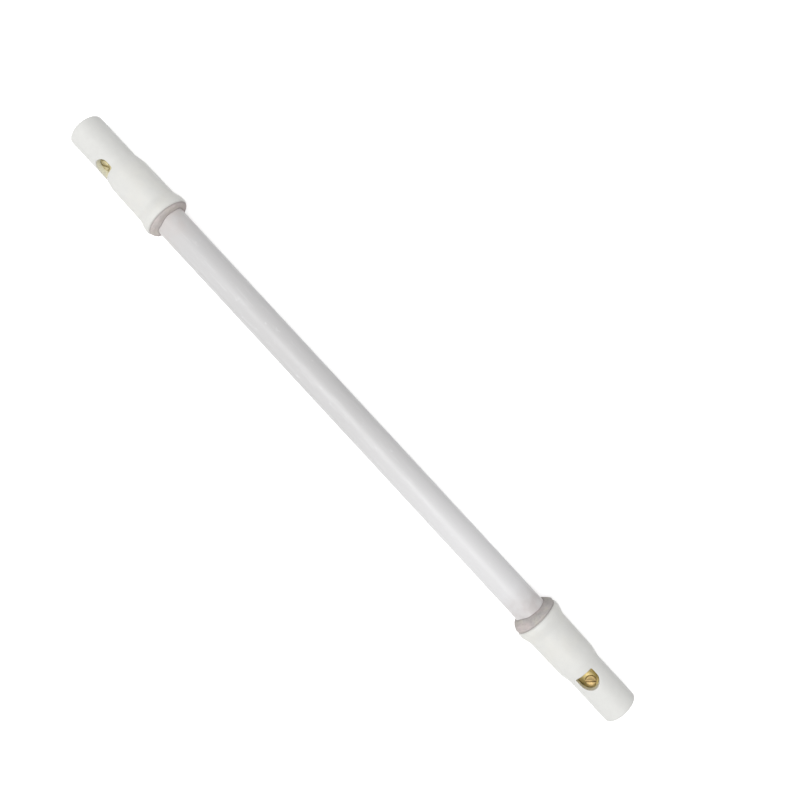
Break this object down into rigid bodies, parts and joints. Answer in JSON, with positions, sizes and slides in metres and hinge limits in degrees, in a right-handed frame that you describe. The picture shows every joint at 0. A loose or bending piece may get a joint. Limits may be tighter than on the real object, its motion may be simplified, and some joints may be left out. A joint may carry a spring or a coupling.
{
  "type": "heating element",
  "caption": "Straight milky quartz tube heating element with a flared white ceramic cap, screw terminal and cement seal at each end.",
  "frame": {"origin": "middle of the tube's axis, halfway between the two caps' end faces", "axes": "+X along the tube towards the cap whose window looks up, +Z out of that cap's window, +Y completes the right-handed frame"},
  "size_m": [0.288, 0.0182, 0.018],
  "materials": {
    "milky_quartz": "milky, satin",
    "coil_strip": "matt, oxidised",
    "pin_steel": "bright drawn",
    "terminal_brass": "turned",
    "screw_brass": "turned, slightly dull",
    "white_ceramic": "fine matt",
    "sealing_cement": "rough, grey-pink"
  },
  "bodies": {
    "root": {"quartz_tube": "milky_quartz", "resistance_coil": "coil_strip", "left_lead_pin": "pin_steel", "left_terminal_barrel": "terminal_brass", "left_clamp_screw": "screw_brass", "left_end_cap": "white_ceramic", "left_cement_seal": "sealing_cement", "right_lead_pin": "pin_steel", "right_terminal_barrel": "terminal_brass", "right_clamp_screw": "screw_brass", "right_end_cap": "white_ceramic", "right_cement_seal": "sealing_cement"}
  },
  "joints": []
}
